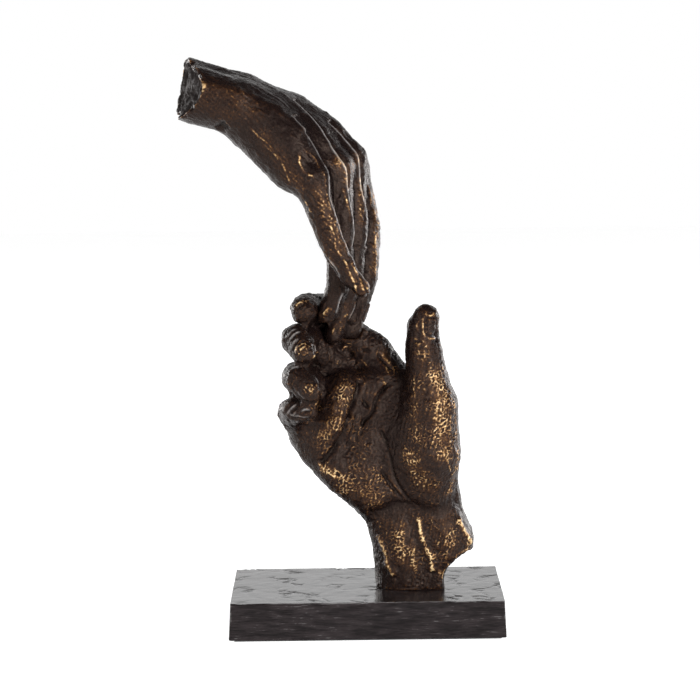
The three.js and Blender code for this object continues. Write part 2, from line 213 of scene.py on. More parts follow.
class Clay:
    """The dense skin of a CAD node as arrays. Strokes add up in push, which moves the skin outwards.

    A stroke's line is given in photo pixels, or in space on a side that the photo doesn't show.
    """

    def __init__(self, node, name, voxel, passes):
        self.node = node
        self.piece = dense_copy(node, name, voxel)
        self.mesh = self.piece.data
        self.points = read(self.mesh.vertices, "co", 3).astype(float) / MM
        self.edges = read(self.mesh.edges, "vertices", 2, np.int32)
        self.degree = np.bincount(self.edges.ravel(), minlength=len(self.points))[:, None]
        self.smooth(passes)
        self.settle()
        faces = [tuple(face.vertices) for face in self.mesh.polygons]
        self.tree = BVHTree.FromPolygons(self.points.tolist(), faces)
        self.gilt = np.zeros(len(self.points))
        self.pale = np.zeros(len(self.points))
        self.raw = np.zeros(len(self.points))

    def around(self, values):
        """The mean of each point's neighbours."""
        first, second = self.edges.T
        count = len(values)
        sums = []
        for column in values.T:
            at_first = np.bincount(first, column[second], count)
            at_second = np.bincount(second, column[first], count)
            sums.append(at_first + at_second)
        return np.array(sums).T / self.degree

    def smooth(self, passes):
        """Takes out small bumps, and swells the skin back after each round so that it doesn't shrink."""
        for _ in range(passes):
            for share in SMOOTHING_SHARES:
                self.points = self.points + share * (self.around(self.points) - self.points)

    def settle(self):
        """Writes the points to the mesh, and reads the normals there."""
        self.mesh.vertices.foreach_set("co", (self.points * MM).astype(np.float32).ravel())
        self.mesh.update()
        self.normals = read(self.mesh.vertex_normals, "vector", 3).astype(float)
        self.push = np.zeros(len(self.points))

    def apply_push(self):
        """Moves the skin by what the strokes have added up to."""
        self.points = self.points + self.push[:, None] * self.normals
        self.settle()

    def distance(self, pixel):
        """How far the skin behind a photo pixel is from the camera. Beside the skin it is endless."""
        return self.tree.ray_cast(CAMERA_PLACE, photo_ray(pixel))[3] or math.inf

    def into_space(self, path, distances):
        """The line in space at those distances behind a photo line, with steps in depth softened.
        Pixels beside the skin are dropped."""
        on_hand = np.isfinite(distances)
        depths = softened(distances[on_hand], DEPTH_SOFTENING)
        rays = [photo_ray(pixel) for pixel in path[on_hand]]
        return np.array([CAMERA_PLACE + ray * far for ray, far in zip(rays, depths)])

    def on_skin(self, path):
        """Points and normals of the skin along a line in the photo or in space, and the line's directions."""
        if path.shape[1] == 2:
            path = self.into_space(path, np.array([self.distance(pixel) for pixel in path]))
        hits = [self.tree.find_nearest(place)[:2] for place in path]
        line, facing = (softened(np.array(part), LINE_SOFTENING) for part in zip(*hits))
        facing /= np.linalg.norm(facing, axis=1)[:, None]
        ahead = np.gradient(line, axis=0)
        ahead -= dots(ahead, facing)[:, None] * facing
        steps = np.maximum(np.linalg.norm(ahead, axis=1), SHORTEST_STEP)
        return line, facing, ahead / steps[:, None]

    def edge_in_front(self, path):
        """The line in space along nearer flesh, up to a few pixels to the left of a photo line."""
        edge, depths = [], []
        for pixel, step in zip(path, np.gradient(path, axis=0)):
            leftward = np.array([step[1], -step[0]]) / np.linalg.norm(step)
            places = [pixel + shift * leftward for shift in FOLD_SEARCH]
            distances = [self.distance(place) for place in places]
            nearer = [number for number, far in enumerate(distances) if far < distances[0] - FOLD_STEP]
            chosen = nearer[0] if nearer else 0
            edge.append(places[chosen])
            depths.append(distances[chosen])
        front = [min(depths[max(0, n - FOLD_REACH) : n + FOLD_REACH + 1]) for n in range(len(depths))]
        return self.into_space(softened(np.array(edge), LINE_SOFTENING), np.array(front))

    def near(self, path, reach):
        """The skin within reach of a line, on the line's own side: point numbers, offsets from the line, and
        the line's direction, normal and fading there."""
        line, facing, ahead = self.on_skin(path)
        inside = ((self.points > line.min(0) - reach) & (self.points < line.max(0) + reach)).all(1)
        numbers = np.flatnonzero(inside)
        offsets = self.points[numbers, None] - line[None]
        nearest = np.linalg.norm(offsets, axis=2).argmin(1)
        offset = offsets[np.arange(len(numbers)), nearest]
        distance = np.linalg.norm(offset, axis=1)
        taper = min(STROKE_TAPER / STROKE_STEP, len(line) / 3)
        fade = smoothstep(0, taper, nearest) * smoothstep(0, taper, len(line) - 1 - nearest)
        fade *= smoothstep(reach, reach / 2, distance)
        keep = (distance < reach) & (dots(self.normals[numbers], facing[nearest]) > 0)
        return numbers[keep], offset[keep], ahead[nearest][keep], facing[nearest][keep], fade[keep]

    def carve(self, pixels, width, depth):
        """A groove along a line, or a ridge where depth is below 0."""
        numbers, offset, _, _, fade = self.near(curve_through(pixels, STROKE_STEP), LINE_REACH * width)
        self.push[numbers] -= depth * fade * np.exp(-dots(offset, offset) / width**2)

    def fold(self, pixels, width, lip, drop, pale):
        """Flesh on the left of a photo line, as it is drawn, stands over flesh on its right.
        Its edge gets a painted highlight, a pale line."""
        path = self.edge_in_front(curve_through(pixels, STROKE_STEP))
        numbers, offset, ahead, facing, fade = self.near(path, LINE_REACH * width)
        left = dots(np.cross(facing, ahead), offset)
        edge = 0.5 + 0.5 * np.tanh(left / FOLD_BEND)
        raised = lip * np.exp(-((left / width) ** 2)) * edge
        sunk = drop * np.exp(np.minimum(left, 0) / width) * (1 - edge)
        self.push[numbers] += fade * (raised - sunk)
        self.paint_highlight(numbers, pale * fade * np.exp(-(((left - FOLD_HIGHLIGHT_HALF_WIDTH) / FOLD_HIGHLIGHT_HALF_WIDTH) ** 2)))

    def paint_highlight(self, numbers, share):
        """Paints a pale highlight on those points, at least that share of it."""
        self.pale[numbers] = np.maximum(self.pale[numbers], share)

    def ridge(self, pixels, width, height, gold=0.0, pale=0.0):
        """A raised line with gold on it, or with a pale painted highlight."""
        self.carve(pixels, width, -height)
        self.gild(pixels, RIDGE_GOLD * width, gold)
        path = curve_through(pixels, STROKE_STEP)
        numbers, offset, _, _, fade = self.near(path, LINE_REACH * HIGHLIGHT_HALF_WIDTH)
        self.paint_highlight(numbers, pale * fade * np.exp(-dots(offset, offset) / HIGHLIGHT_HALF_WIDTH**2))

    def chip(self, start, end, depth, seed):
        """A raw surface where a tapering bar has broken the hand off. Each end is a place and a radius."""
        start, end = np.array(start), np.array(end)
        bar = (end - start)[:3]
        offset = self.points - start[:3]
        share = np.clip(offset @ bar / (bar @ bar), 0, 1)
        radius = start[3] + share * (end - start)[3]
        outside = np.linalg.norm(offset - np.outer(share, bar), axis=1) - radius
        self.raw = np.maximum(self.raw, smoothstep(*BREAK_SKIN, np.abs(outside)))
        pressed, _ = self.cells(BREAK_PIT, seed)
        _, gap = self.cells(BREAK_CRUMB, seed + 1)
        pits = smoothstep(-0.4, 0.8, pressed)
        crumbs = smoothstep(0, 0.6, gap)
        self.push -= depth * self.raw * (pits + CRUMB_DEPTH * crumbs)

    def swell(self, pixels, radius, height):
        """A broad rise along a line, or a hollow where height is below 0."""
        numbers, offset, _, _, _ = self.near(curve_through(pixels, STROKE_STEP), BROAD_REACH * radius)
        self.push[numbers] += height * np.exp(-dots(offset, offset) / radius**2)

    def gild(self, pixels, radius, strength):
        """Gold paint dry-brushed along a line."""
        numbers, offset, _, _, _ = self.near(curve_through(pixels, STROKE_STEP), BROAD_REACH * radius)
        share = strength * np.exp(-dots(offset, offset) / radius**2)
        self.gilt[numbers] = np.maximum(self.gilt[numbers], share)

    def nail(self, root, tip, width, rise=0.35, cut=0.6):
        """A nail from its root to its free edge, cut in all round and a little raised."""
        line, facing, _ = self.on_skin(curve_through([root, tip], STROKE_STEP))
        outward = facing.mean(0)
        ahead = line[-1] - line[0]
        length = np.linalg.norm(ahead)
        ahead = ahead / length
        across = np.cross(outward, ahead)
        middle = (line[0] + line[-1]) / 2
        offset = self.points - middle
        close = np.linalg.norm(offset, axis=1) < length + width
        numbers = np.flatnonzero(close & (self.normals @ outward > 0))
        offset = offset[numbers]
        corner = width / 3
        over_long = np.abs(offset @ ahead) - length / 2 + corner
        over_wide = np.abs(offset @ across) - width / 2 + corner
        outside = np.hypot(np.maximum(over_long, 0), np.maximum(over_wide, 0))
        gap = outside + np.minimum(np.maximum(over_long, over_wide), 0) - corner
        groove = np.exp(-((gap / NAIL_GROOVE) ** 2))
        self.push[numbers] += rise * smoothstep(*NAIL_RIM, gap) - cut * groove

    def grain(self, size, seed, along=(0, 0, 1), length=1):
        """Smooth noise from -1 to 1 with bumps of about that size, drawn out along a direction."""
        offset = Vector([seed * shift for shift in GRAIN_SHIFT])
        along = np.array(along) / np.linalg.norm(along)
        drawn = self.points - (1 - 1 / length) * np.outer(self.points @ along, along)
        return np.array([noise.noise(Vector(place) + offset) for place in drawn / size])

    def cells(self, size, seed):
        """Bent cells of about that size: each point's depth in its cell, and how far the next cell is."""
        offset = Vector([seed * shift for shift in CELL_SHIFT])
        bend = CELL_BEND * np.column_stack([self.grain(size, seed + extra) for extra in CELL_BEND_SEEDS])
        gaps = [noise.voronoi(Vector(place) + offset)[0][:2] for place in self.points / size + bend]
        first, second = np.array(gaps).T
        return 1 - 2 * first, second - first

    def keep_clear(self, other, room):
        """Lets the strokes and the grain fade out where the other hand is close to this one."""
        gaps = np.array([other.tree.find_nearest(place)[3] for place in self.points])
        self.push *= smoothstep(0, room, gaps)

    def stand_on(self, height):
        """Keeps the foot flat on what it stands on."""
        foot = self.points[:, 2] < height + FOOT_BAND
        self.push[foot] = 0
        self.points[foot, 2] = np.maximum(self.points[foot, 2], height)

    def record_wear(self, sharp, broad):
        """Stores how far each point stands out from the skin around it, for the gold on the edges.
        Sharp and broad are the heights at which the wear is full."""
        for name, passes, full in (("sharp_wear", SHARP_PASSES, sharp), ("broad_wear", BROAD_PASSES, broad)):
            mean = self.points
            for _ in range(passes):
                mean = self.around(mean)
            self.attribute(name, dots(self.points - mean, self.normals) / full)
        self.attribute("gilt", self.gilt)
        self.attribute("pale", self.pale)
        self.attribute("raw", self.raw)

    def attribute(self, name, values):
        """Stores a value from -1 to 1 for each point, which the materials read."""
        kept = np.clip(values, -1, 1).astype(np.float32)
        self.mesh.attributes.new(name, "FLOAT", "POINT").data.foreach_set("value", kept)


# Upper hand. Strokes are photo lines. A fold is drawn so that the flesh that stands over is on its left.

UPPER_FOLDS = {
    "little finger": [
        (373, 291), (362, 270), (350, 249), (344, 233), (336, 210), (332, 198), (331, 180), (328, 166),
        (317, 147), (305, 129), (292, 112),
    ],
    "ring finger": [
        (352, 251), (354, 243), (356, 230), (353, 208), (351, 190), (350, 170), (346, 161), (338, 150),
        (329, 136), (318, 121), (305, 108), (291, 97),
    ],
    "middle finger": [
        (366, 248), (368, 238), (369, 225), (368, 210), (365, 195), (364, 180), (363, 165), (361, 154),
        (352, 143), (340, 129), (327, 119),
    ],
}
FINGERTIP_FOLDS = {
    "ring tip": [(337, 316), (340, 309), (343, 302), (347, 291)],
    "middle tip": [(352, 322), (354, 317), (356, 311), (358, 302)],
    "little finger, over the ring finger": [(325, 258), (334, 270), (339, 280)],
}
# Where the hand's back turns to its side
HAND_SIDE = [(200, 84), (226, 90), (262, 101), (286, 116), (306, 134)]
# Low ridges on the back of the hand, each with a faint painted highlight along it
BACK_LINES = [
    [(205, 62), (230, 71), (250, 79), (275, 89), (292, 102)],
    [(225, 72), (245, 80), (270, 93), (292, 110)],
    [(240, 72), (262, 83), (285, 95)],
]
WRIST_NOTCH = [(217, 131), (222, 127), (228, 123)]
DIMPLE = [(309, 161), (311, 161)]
UPPER_GOLD_LINES = [
    [(304, 150), (309, 153), (314, 156), (317, 162), (319, 168)],
    [(301, 153), (299, 159), (301, 167), (305, 172)],
    [(307, 173), (313, 177)],
    [(250, 127), (258, 136), (268, 143), (274, 152), (281, 160), (286, 172), (291, 185)],
    [(262, 143), (270, 150), (276, 156), (280, 162)],
    [(322, 172), (325, 178), (325, 188), (327, 198), (329, 206), (331, 214)],
    [(329, 223), (331, 228), (335, 236), (335, 246), (338, 252), (345, 258)],
    [(342, 185), (345, 197), (349, 212), (350, 222)],
    [(330, 163), (334, 168), (338, 172)],
    [(341, 160), (345, 167), (348, 173)],
    [(366, 178), (370, 192), (371, 208)],
    [(376, 232), (375, 245), (376, 258)],
    [(343, 258), (347, 266), (350, 274), (354, 282), (357, 290), (362, 297), (367, 298)],
    [(350, 262), (357, 274), (363, 284), (369, 292)],
    [(330, 307), (326, 311), (320, 316)],
    [(335, 327), (332, 333)],
    [(349, 313), (344, 317), (342, 322)],
    [(300, 195), (308, 205), (312, 214)],
    [(200, 84), (201, 88), (199, 95)],
]
UPPER_WRINKLES = [
    [(314, 217), (320, 213), (327, 216)],
    [(317, 224), (323, 219), (329, 221)],
    [(320, 232), (326, 228), (332, 230)],
    [(304, 188), (312, 196), (318, 208)],
    [(340, 190), (338, 200)],
]
# Where gold is brushed on: photo line, radius and strength
UPPER_GILDING = [
    ([(205, 88), (235, 98), (255, 112)], 8, 0.6),
    ([(203, 104), (235, 115)], 7, 0.45),
    ([(262, 135), (285, 165), (300, 190)], 6, 0.65),
    ([(336, 160), (346, 172), (358, 160)], 5, 0.75),
    ([(359, 180), (361, 222)], 3.5, 0.8),
    ([(345, 178), (350, 185)], 4, 0.8),
    ([(373, 190), (377, 230), (374, 272)], 4, 0.85),
    ([(318, 190), (330, 220), (342, 250)], 5, 0.8),
    ([(300, 200), (318, 235), (332, 262)], 6, 0.45),
    ([(348, 268), (362, 288)], 4, 0.55),
    ([(330, 308), (322, 316)], 2.5, 0.35),
    ([(345, 305), (340, 325)], 5, 0.6),
]
# Strokes on the sides that the photo doesn't show are lines in space, close to the skin.
UPPER_HIDDEN_WRINKLES = [
    [(9, 4, 251), (12, 12, 250), (9, 20, 251)],
    [(9, 5, 247), (12, 12, 246), (9, 19, 247)],
    [(2, -11, 251), (4, -3, 250), (3, 5, 251)],
    [(2, -10, 247), (4, -3, 246), (3, 4, 247)],
    [(8, -3, 223), (10, 4, 222), (8, 11, 223)],
    [(-1, -15, 221), (0, -8, 220), (-1, -1, 221)],
    [(-20, 45, 262), (-15, 40, 260), (-13, 34, 259)],
    [(-19, 45, 258), (-14, 40, 256), (-12, 34, 256)],
]
# Root, free edge and width of each nail
UPPER_HIDDEN_NAILS = [
    ((4, 1, 203), (-1, -2, 190), 7),
    ((-4, -8, 206), (-10, -8, 191), 7),
    ((-15, 39, 253), (-7, 34, 240), 8),
]
PALM_LINES = [
    [(-52, -28, 290), (-47, -12, 288), (-40, 8, 284), (-36, 22, 279)],
    [(-66, -18, 300), (-58, 0, 293), (-48, 18, 285), (-42, 30, 276)],
    [(-86, 12, 312), (-70, 14, 298), (-60, 24, 288), (-52, 34, 276)],
]
# The tapering bar that the wrist is broken off along: place and radius of each end
BROKEN_WRIST = ((-92, -45, 335, 0), (-209, 45, 356, 111))


def sculpt_upper_hand():
    clay = Clay("upper_hand", "upper_hand_bronze", HAND_VOXEL, HAND_PASSES)
    # The folds' edges and the ridges on the back get pale painted highlights
    for line in UPPER_FOLDS.values():
        clay.fold(line, width=4, lip=0.6, drop=2.6, pale=0.8)
    for line in FINGERTIP_FOLDS.values():
        clay.fold(line, width=2.5, lip=0.4, drop=1.8, pale=0.7)
    clay.carve(HAND_SIDE, width=4, depth=-0.8)
    for line in BACK_LINES:
        clay.ridge(line, width=0.9, height=0.3, pale=0.25)
    clay.carve(WRIST_NOTCH, width=3, depth=2.8)
    clay.swell(DIMPLE, radius=4.5, height=-1.4)
    for line in UPPER_GOLD_LINES:
        clay.ridge(line, width=0.8, height=0.35, gold=0.7)
    for line in UPPER_WRINKLES:
        clay.carve(line, width=0.9, depth=0.6)
    clay.nail(root=(357, 283), tip=(366, 296), width=4.5)
    clay.nail(root=(331, 306), tip=(324, 317), width=4.5, rise=0.15, cut=0.35)
    for line, radius, strength in UPPER_GILDING:
        clay.gild(line, radius, strength)
    for line in UPPER_HIDDEN_WRINKLES:
        clay.carve(line, width=0.9, depth=0.6)
    for root, tip, width in UPPER_HIDDEN_NAILS:
        clay.nail(root, tip, width)
    for line in PALM_LINES:
        clay.carve(line, width=1.4, depth=1.2)
    clay.chip(*BROKEN_WRIST, depth=3.2, seed=41)
    return clay


# Lower hand

HEART_LINE = [(318, 466), (331, 452), (341, 440), (347, 424), (353, 408), (357, 392), (360, 377)]
HEEL_OF_HAND = [(366, 512), (378, 513), (402, 504), (418, 509), (437, 511), (452, 502), (462, 494)]
TENDONS = {
    "little side": [(378, 532), (381, 540), (385, 548), (388, 557), (388, 565), (392, 571), (394, 578)],
    "middle": [
        (417, 515), (420, 525), (421, 533), (424, 543), (427, 550), (431, 556), (431, 562), (434, 574),
    ],
    "thumb side": [(456, 517), (460, 525), (466, 536), (471, 546)],
}
THUMB_NOTCH = [(436, 333), (436, 336)]
THUMB_JOINT = [(440, 348), (440, 352)]
CREASES = [
    [(379, 428), (384, 438), (388, 450), (391, 460), (393, 472), (398, 485), (410, 503)],
    [(388, 384), (380, 393), (375, 401), (373, 411), (368, 417), (363, 421), (361, 430)],
    [(350, 420), (353, 410), (357, 398)],
    [(362, 400), (366, 405), (368, 410)],
    [(393, 382), (386, 387), (380, 395)],
    [(376, 352), (384, 362), (394, 372)],
    [(360, 352), (366, 350), (372, 353)],
    [(380, 468), (386, 478), (393, 488), (404, 501)],
    [(335, 472), (341, 477)],
]
LOWER_WRINKLES = [
    [(288, 346), (292, 338), (298, 333)],
    [(293, 352), (296, 343), (302, 337)],
    [(297, 349), (300, 344), (305, 340)],
    [(296, 312), (300, 306), (306, 305)],
    [(291, 371), (297, 367), (304, 369)],
    [(293, 376), (291, 384), (295, 392)],
    [(299, 378), (297, 386), (302, 395)],
    [(287, 417), (292, 411), (299, 406)],
    [(290, 421), (297, 417), (305, 418), (312, 418)],
    [(301, 408), (307, 411), (313, 410)],
    [(286, 415), (290, 422), (295, 429)],
    [(411, 340), (418, 342), (424, 341)],
    [(430, 341), (438, 341), (442, 339)],
    [(417, 354), (421, 357), (425, 354)],
]
# Wrinkles on the fingers, each with a pale painted highlight along it
HIGHLIGHTED_WRINKLES = [
    [(287, 339), (291, 332), (298, 329)],
    [(288, 346), (291, 338), (297, 333), (302, 332)],
    [(291, 352), (293, 344), (299, 338)],
    [(295, 355), (296, 349), (299, 344)],
    [(310, 336), (313, 341), (313, 347)],
    [(288, 373), (293, 368), (300, 366)],
    [(291, 388), (295, 394), (300, 399)],
    [(297, 390), (301, 396), (306, 399)],
    [(313, 375), (317, 380), (319, 385)],
    [(286, 416), (291, 409), (298, 404)],
    [(288, 413), (293, 415), (297, 411)],
    [(292, 418), (298, 415), (304, 417), (311, 416)],
    [(300, 412), (306, 409), (311, 411)],
    [(302, 297), (306, 295), (309, 299)],
    [(310, 299), (313, 296), (315, 300)],
]
LOWER_GOLD_LINES = [
    [(295, 307), (300, 303), (306, 302)],
    [(296, 351), (299, 346), (304, 342)],
    [(299, 354), (302, 348), (307, 344)],
    [(304, 391), (307, 386)],
    [(308, 393), (313, 389), (317, 386)],
    [(316, 408), (320, 405)],
    [(424, 318), (423, 326), (424, 333), (427, 339)],
    [(421, 320), (417, 325), (419, 331)],
    [(426, 311), (426, 315), (430, 316), (434, 314)],
    [(427, 338), (432, 339), (437, 337)],
    [(423, 387), (426, 391)],
    [(384, 362), (388, 370)],
    [(360, 358), (364, 362), (368, 367)],
    [(380, 377), (385, 384)],
    [(343, 408), (340, 421), (334, 433)],
    [(338, 361), (336, 366)],
    [(317, 352), (312, 359)],
    [(415, 375), (414, 390), (416, 402)],
    [(420, 470), (430, 472)],
    [(322, 468), (328, 472), (337, 479)],
    [(333, 467), (341, 475), (347, 481)],
    [(446, 455), (452, 475), (456, 460)],
    [(470, 546), (465, 550), (456, 555)],
]
# Where gold is brushed on, as for the upper hand
LOWER_GILDING = [
    ([(322, 468), (334, 474), (346, 480)], 4, 0.95),
    ([(345, 487), (375, 497)], 10, 0.7),
    ([(322, 438), (331, 424), (339, 406), (344, 388)], 7, 0.75),
    ([(308, 430), (322, 445)], 8, 0.5),
    ([(356, 425), (360, 455)], 8, 0.45),
    ([(355, 470), (375, 480)], 9, 0.55),
    ([(436, 375), (441, 405), (442, 430), (447, 455)], 9, 0.95),
    ([(420, 385), (414, 420), (420, 440)], 7, 0.65),
    ([(410, 455), (418, 475), (430, 488)], 8, 0.8),
    ([(452, 400), (456, 430), (456, 470), (448, 495)], 3, 0.8),
    ([(422, 345), (424, 370)], 8, 0.55),
    ([(403, 525), (400, 545), (405, 562)], 5, 0.85),
    ([(412, 548), (414, 568)], 5, 0.85),
    ([(446, 522), (452, 545)], 6, 0.8),
    ([(436, 530), (438, 548)], 4, 0.6),
    ([(383, 540), (390, 570)], 4, 0.7),
    ([(457, 519), (469, 542), (464, 552)], 4, 0.9),
    ([(418, 517), (423, 540)], 3, 0.95),
    ([(426, 551), (433, 556)], 3.5, 1.1),
    ([(385, 532), (420, 528), (455, 530)], 12, 0.5),
    ([(395, 556), (422, 560), (448, 552)], 10, 0.5),
    ([(431, 562), (433, 570)], 2.5, 1.0),
    ([(440, 572), (446, 577)], 3, 0.9),
    ([(302, 345), (306, 350)], 3, 0.45),
    ([(306, 390), (315, 388)], 3, 0.45),
    ([(314, 404), (319, 408)], 3, 0.7),
    ([(384, 353), (392, 370)], 5, 0.65),
    ([(345, 345), (360, 375), (368, 395)], 6, 0.4),
]
# Strokes on the hidden sides, as lines in space
BACK_TENDONS = [
    [(30, 20, 92), (20, 21, 125), (8, 22, 162)],
    [(21, 21, 90), (9, 23, 120), (-6, 24, 148)],
    [(13, 19, 88), (-4, 22, 112), (-20, 22, 133)],
    [(6, 15, 86), (-14, 16, 103), (-32, 16, 117)],
]
KNUCKLES = [(6, 21, 170), (-8, 23, 155), (-22, 21, 139), (-36, 15, 122)]
KNUCKLE_LENGTH = (-2, 0, 2)  # from a knuckle's place to the end of its top
HOLLOWS_BETWEEN_KNUCKLES = [
    [(4, 20, 150), (-3, 20, 164), (-12, 16, 176)],
    [(-11, 20, 136), (-18, 19, 149), (-27, 12, 161)],
    [(-26, 17, 120), (-32, 14, 132), (-38, 6, 143)],
]
LOWER_HIDDEN_WRINKLES = [
    [(-22, 14, 190), (-28, 14, 198), (-26, 8, 206)],
    [(-26, 13, 188), (-32, 11, 196), (-30, 5, 205)],
    [(-35, 7, 172), (-43, 2, 180), (-40, -5, 190)],
    [(-39, 5, 170), (-46, -2, 178), (-43, -9, 189)],
    [(-43, -7, 150), (-50, -14, 158), (-47, -20, 168)],
    [(-45, -10, 148), (-52, -18, 156), (-48, -24, 167)],
    [(-49, -9, 130), (-54, -17, 137), (-50, -20, 145)],
]
# The bar that bit into the wrist: place and radius of each end
BITE_IN_WRIST = ((66, -30, 28, 18), (66, 30, 28, 18))


def sculpt_lower_hand():
    clay = Clay("lower_hand", "lower_hand_bronze", HAND_VOXEL, HAND_PASSES)
    clay.carve(HEART_LINE, width=2.0, depth=2.6)
    clay.carve(HEEL_OF_HAND, width=4.5, depth=2.0)
    clay.swell(THUMB_NOTCH, radius=2.5, height=-0.9)
    clay.swell(THUMB_JOINT, radius=4, height=0.8)
    for line in TENDONS.values():
        clay.carve(line, width=3, depth=-1.2)
        clay.ridge(line, width=1.3, height=0.6, gold=0.6)
    for line in CREASES:
        clay.carve(line, width=1.2, depth=1.5)
    for line in LOWER_WRINKLES:
        clay.carve(line, width=0.9, depth=0.9)
    # Raised wrinkles with pale painted highlights
    for line in HIGHLIGHTED_WRINKLES:
        clay.ridge(line, width=0.7, height=0.5, pale=0.6)
    for line in LOWER_GOLD_LINES:
        clay.ridge(line, width=0.8, height=0.35, gold=0.7)
    clay.nail(root=(431, 336), tip=(431, 317), width=8)
    clay.nail(root=(302, 346), tip=(306, 356), width=5, rise=0.2, cut=0.35)
    clay.nail(root=(306, 384), tip=(316, 392), width=5, rise=0.2, cut=0.35)
    for line, radius, strength in LOWER_GILDING:
        clay.gild(line, radius, strength)
    for line in BACK_TENDONS:
        clay.ridge(line, width=3, height=0.9, gold=0.6)
    for place in KNUCKLES:
        top = [place, np.add(place, KNUCKLE_LENGTH)]
        clay.swell(top, radius=6, height=1.3)
        clay.gild(top, radius=6, strength=0.75)
    for line in HOLLOWS_BETWEEN_KNUCKLES:
        clay.carve(line, width=3, depth=1.0)
    for line in LOWER_HIDDEN_WRINKLES:
        clay.carve(line, width=0.9, depth=0.7)
    clay.chip(*BITE_IN_WRIST, depth=1.6, seed=43)
    return clay


# Rough skin of both hands

UNEVEN_SIZE, UNEVEN_HEIGHT = 14, 0.35  # broad unevenness
DAB_SIZE = 6
PIT_SIZE = 2.8
ROUGH_PATCH = 11  # size of the patches with pits and ridges
STREAK_WIDTH, STREAK_LENGTH = 1.4, 5  # the length is in widths
SPECK_SIZE, SPECK_SHARE = 1.3, 0.6  # specks beside the streaks, and their height as a share of the streaks'
HIDDEN_PATCH = 22  # size of the patches of gold on the sides that the photo doesn't show
HIDDEN_GOLD, HIDDEN_PATCH_GOLD = 0.25, 0.5  # gold all over those sides, and what a patch adds


def roughen(clay, seed, lay, dabs, ridges, streaks):
    """Dabs of clay pressed on, ridges left between small pits, and streaks of the brush along its lay.
    The sides that the photo doesn't show get patches of gold too."""
    pressed, _ = clay.cells(DAB_SIZE, seed + 1)
    _, gap = clay.cells(PIT_SIZE, seed + 2)
    rough = smoothstep(-0.5, 0.2, clay.grain(ROUGH_PATCH, seed + 5))
    clay.push += UNEVEN_HEIGHT * clay.grain(UNEVEN_SIZE, seed) + dabs * pressed
    clay.push += ridges * rough * (1 - smoothstep(0.05, 0.45, gap))
    drawn = clay.grain(STREAK_WIDTH, seed + 4, lay, STREAK_LENGTH)
    clay.push += streaks * (drawn + SPECK_SHARE * clay.grain(SPECK_SIZE, seed + 6))
    hidden = smoothstep(-0.1, 0.3, clay.normals @ np.array(FORWARD))
    patches = smoothstep(-0.2, 0.5, clay.grain(HIDDEN_PATCH, seed + 3))
    clay.gilt = np.maximum(clay.gilt, hidden * (HIDDEN_GOLD + HIDDEN_PATCH_GOLD * patches))


# Materials

MIX_SHARE, MIX_FIRST, MIX_SECOND, MIX_RESULT = 0, 6, 7, 2  # places of a mix node's sockets for colours


class Nodes:
    """Short names for building a node tree."""

    def __init__(self, tree):
        self.tree = tree

    def add(self, kind, inputs=None, **settings):
        """A new node with those settings, and values or links for its inputs."""
        node = self.tree.nodes.new(kind)
        for name, value in settings.items():
            setattr(node, name, value)
        for name, value in (inputs or {}).items():
            self.join(value, node.inputs[name])
        return node

    def join(self, value, socket):
        """Links a socket to another one, or sets a constant on it."""
        if isinstance(value, bpy.types.NodeSocket):
            self.tree.links.new(value, socket)
        else:
            socket.default_value = value

    def math(self, operation, *values):
        node = self.add("ShaderNodeMath", operation=operation)
        for value, socket in zip(values, node.inputs):
            self.join(value, socket)
        return node.outputs[0]

    def scale(self, value, low, high):
        """Takes 0 to low and 1 to high."""
        return self.math("MULTIPLY_ADD", value, high - low, low)

    def ramp(self, value, low, high):
        """0 below low, 1 above high, smooth between."""
        inputs = {"Value": value, "From Min": low, "From Max": high}
        return self.add("ShaderNodeMapRange", inputs, interpolation_type="SMOOTHSTEP").outputs[0]

    def mix(self, share, a, b):
        """Colour a where the share is 0, and colour b where it is 1."""
        node = self.add("ShaderNodeMix", data_type="RGBA")
        for value, number in ((share, MIX_SHARE), (a, MIX_FIRST), (b, MIX_SECOND)):
            self.join(value, node.inputs[number])
        return node.outputs[MIX_RESULT]


class Finish(Nodes):
    """A material around one surface shader."""

    def __init__(self, name):
        self.material = bpy.data.materials.new(name)
        self.material.use_nodes = True
        super().__init__(self.material.node_tree)
        self.surface = self.tree.nodes["Principled BSDF"]
        self.place = self.add("ShaderNodeTexCoord").outputs["Object"]

    def attribute(self, name):
        return self.add("ShaderNodeAttribute", attribute_name=name).outputs["Fac"]

    def noise(self, size, detail=4, rough=0.55, stretch=(1, 1, 1)):
        """Noise from 0 to 1 with features of about that size in millimetres."""
        scale = tuple(1 / part for part in stretch)
        place = self.add("ShaderNodeMapping", {"Vector": self.place, "Scale": scale}).outputs[0]
        inputs = {"Vector": place, "Scale": 1 / (size * MM), "Detail": detail, "Roughness": rough}
        return self.add("ShaderNodeTexNoise", inputs).outputs["Fac"]

    def bump(self, height, depth):
        """Bumps as deep as that many millimetres."""
        return self.add("ShaderNodeBump", {"Height": height, "Distance": depth * MM}).outputs[0]

    def set(self, **inputs):
        """Sets or links the shader's inputs, and gives the material."""
        for name, value in inputs.items():
            self.join(value, self.surface.inputs[name.replace("_", " ")])
        return self.material


# Painted shade: the near-black colour put in the hollows
PAINTED_SHADE = (0.0030, 0.0016, 0.0015, 1)
DARK_BRONZE = (0.0095, 0.0055, 0.0052, 1)
BROWN_BRONZE = (0.060, 0.027, 0.013, 1)
AMBER = (0.34, 0.165, 0.055, 1)
GOLD = (0.90, 0.66, 0.36, 1)
# Painted highlight: the near-white colour of the pale lines
PAINTED_HIGHLIGHT = (0.60, 0.58, 0.57, 1)
RAW_BREAK = (0.032, 0.028, 0.028, 1)
WARM_SHEEN = (1.0, 0.74, 0.60, 1)

